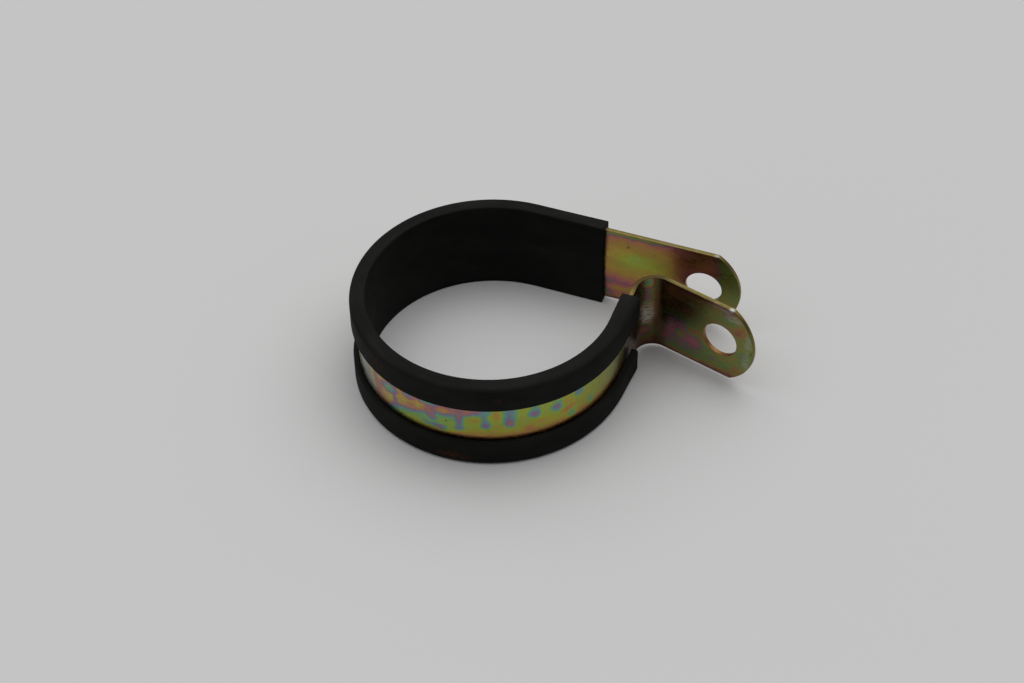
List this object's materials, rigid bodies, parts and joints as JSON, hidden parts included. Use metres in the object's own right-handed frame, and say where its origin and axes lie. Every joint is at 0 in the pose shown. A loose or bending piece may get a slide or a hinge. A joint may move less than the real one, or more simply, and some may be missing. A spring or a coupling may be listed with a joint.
{
  "type": "rubber lined hose clamp",
  "caption": "Rubber-lined P clamp: a steel strap bent into a loop with drilled tabs and held by a rubber channel, for fixing a hose or pipe to a surface.",
  "frame": {"origin": "centre of the loop's bore at mid-width", "axes": "+Z along the bore, +X along the rear tab from the loop to its hole, +Y from the bore's axis to the rear tab"},
  "size_m": [0.0869, 0.061, 0.0226],
  "materials": {
    "strap": "yellow passivated zinc plate, satin, with an iridescent sheen of green, gold, pink and violet",
    "rubber": "matt black extruded rubber"
  },
  "bodies": {
    "root": {"strap": "strap", "rubber_liner": "rubber"}
  },
  "joints": []
}
